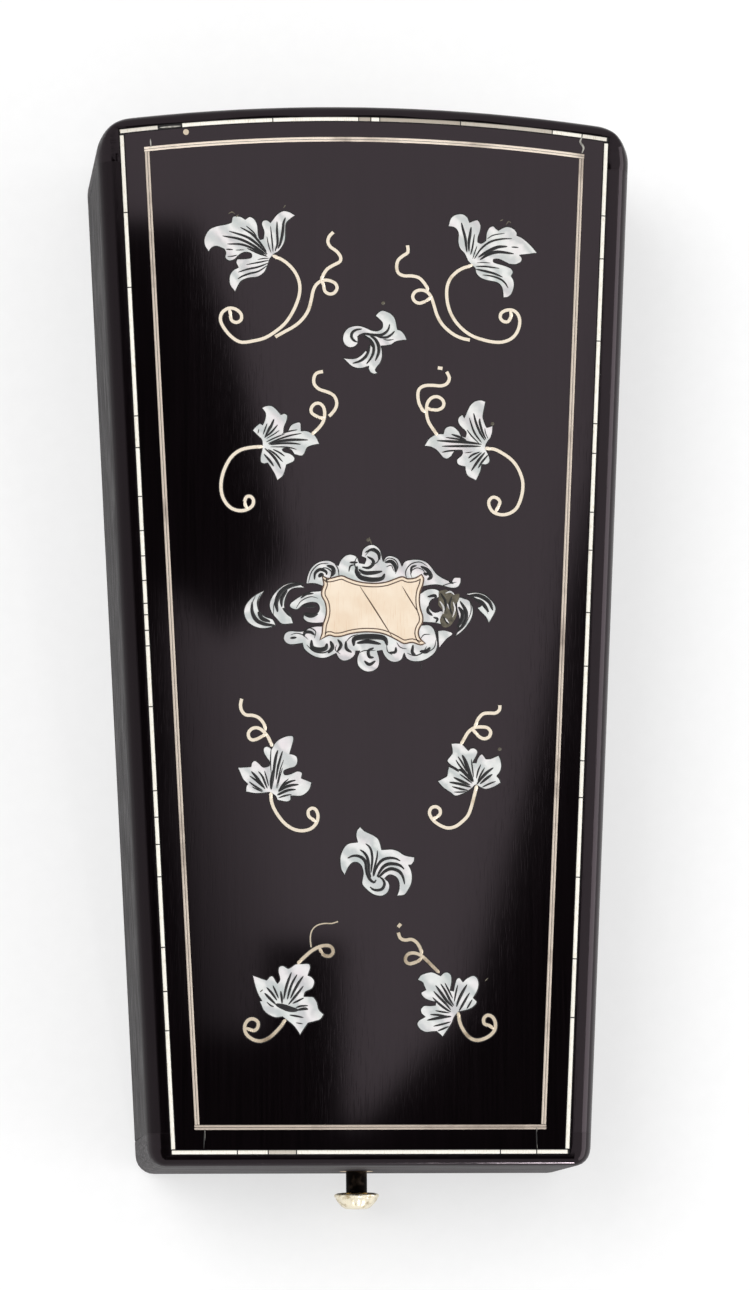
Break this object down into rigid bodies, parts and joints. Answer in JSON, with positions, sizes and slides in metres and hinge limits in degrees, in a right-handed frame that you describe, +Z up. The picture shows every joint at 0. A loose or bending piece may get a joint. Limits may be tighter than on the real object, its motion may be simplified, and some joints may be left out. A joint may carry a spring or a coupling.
{
  "type": "sewing etui",
  "caption": "Tapered ebony sewing etui with pearl, bone and brass inlay, a hinged lid, a push-button catch and fitted tools.",
  "frame": {"origin": "centre of the flat underside, half way between the front and the crown of the curved back", "axes": "+Z up through the lid, +Y towards the wide hinged end, the push button faces -Y"},
  "size_m": [0.066, 0.1346, 0.025],
  "materials": {
    "ebony": "polished",
    "carcase_wood": "satin",
    "mother_of_pearl": "polished",
    "bone": "satin",
    "brass": "worn polish",
    "steel": "polished",
    "silver": "polished",
    "velvet": "matte",
    "silk": "satin"
  },
  "bodies": {
    "base": {"base_bottom": "carcase_wood", "base_left_rail": "ebony", "base_right_rail": "ebony", "base_front_rail": "ebony", "base_back_rail": "ebony", "tool_bed": "velvet", "button_bush": "brass", "leaf_spring": "steel", "spring_screws": "steel", "hinge_base_leaf": "brass", "hinge_base_screws": "steel", "hinge_pin": "steel", "scissors_left_half": "steel", "scissors_right_half": "steel", "scissors_screw": "silver", "thimble": "silver", "needle_case_body": "bone", "needle_case_cap": "bone", "stiletto_handle": "bone", "stiletto_blade": "steel", "bodkin": "silver"},
    "lid": {"lid_panel": "carcase_wood", "lid_left_rail": "ebony", "lid_right_rail": "ebony", "lid_front_rail": "ebony", "lid_back_rail": "ebony", "field_veneer": "ebony", "border_veneer": "ebony", "bone_stringing": "bone", "brass_stringing": "brass", "leaf_top_left": "mother_of_pearl", "leaf_top_right": "mother_of_pearl", "leaf_upper_left": "mother_of_pearl", "leaf_upper_right": "mother_of_pearl", "leaf_lower_left": "mother_of_pearl", "leaf_lower_right": "mother_of_pearl", "leaf_bottom_left": "mother_of_pearl", "leaf_bottom_right": "mother_of_pearl", "sprig_upper": "mother_of_pearl", "sprig_lower": "mother_of_pearl", "tendrils_top_left": "brass", "tendrils_top_right": "brass", "tendrils_upper_left": "brass", "tendrils_upper_right": "brass", "tendrils_lower_left": "brass", "tendrils_lower_right": "brass", "tendrils_bottom_left": "brass", "tendrils_bottom_right": "brass", "cartouche_plate": "brass", "cartouche_crest": "mother_of_pearl", "cartouche_base": "mother_of_pearl", "cartouche_left": "mother_of_pearl", "cartouche_right": "mother_of_pearl", "lid_lining": "silk", "keeper_plate": "steel", "keeper_screws": "steel", "hinge_lid_leaf": "brass", "hinge_lid_screws": "steel"},
    "button": {"button_cap": "silver", "button_stem": "brass"}
  },
  "joints": [
    {"name": "lid_hinge", "type": "hinge", "parent": "base", "child": "lid", "pos_m": [0, 0.0627, 0.01457], "axis": [-1, 0, 0], "range_deg": [0, 100]},
    {"name": "button_push", "type": "slide", "parent": "base", "child": "button", "axis": [0, 1, 0], "range_m": [0, 0.0016], "stiffness_N_per_m": 600, "deforming": ["leaf_spring"]}
  ]
}
